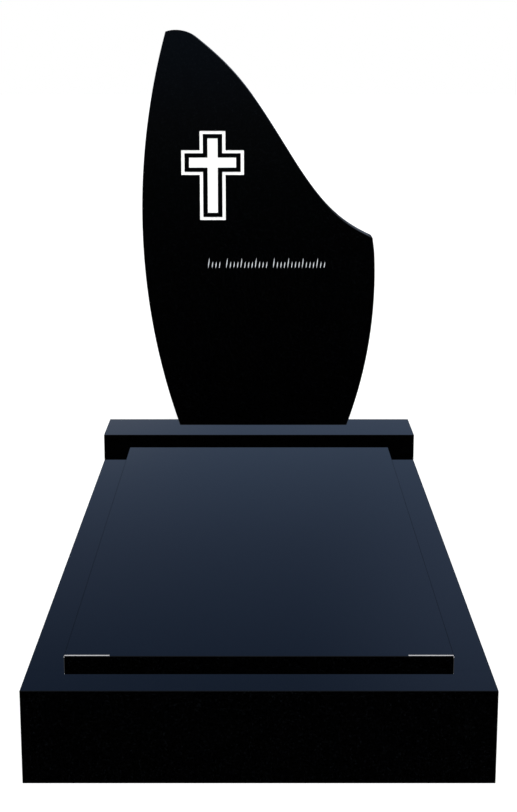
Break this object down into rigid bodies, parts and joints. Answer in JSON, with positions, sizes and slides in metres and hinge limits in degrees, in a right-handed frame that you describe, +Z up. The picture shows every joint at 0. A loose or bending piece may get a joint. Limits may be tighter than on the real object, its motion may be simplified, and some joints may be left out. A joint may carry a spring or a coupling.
{
  "type": "headstone",
  "caption": "Kerbed grave memorial in polished stone: a sail-shaped upright headstone with a cut cross, on a base, with kerb stones round the plot and a raised cover slab.",
  "frame": {"origin": "on the ground, in the middle of the kerbs' footprint", "axes": "+X to the right of someone who faces the headstone's cut face, +Y from the foot of the plot to the headstone, +Z up"},
  "size_m": [0.9144, 1.943, 1.4311],
  "materials": {
    "black_granite": "polished"
  },
  "bodies": {
    "root": {"headstone": "black_granite", "base": "black_granite", "cover_slab": "black_granite", "kerb_front": "black_granite", "kerb_left": "black_granite", "kerb_right": "black_granite", "kerb_head": "black_granite"}
  },
  "joints": []
}
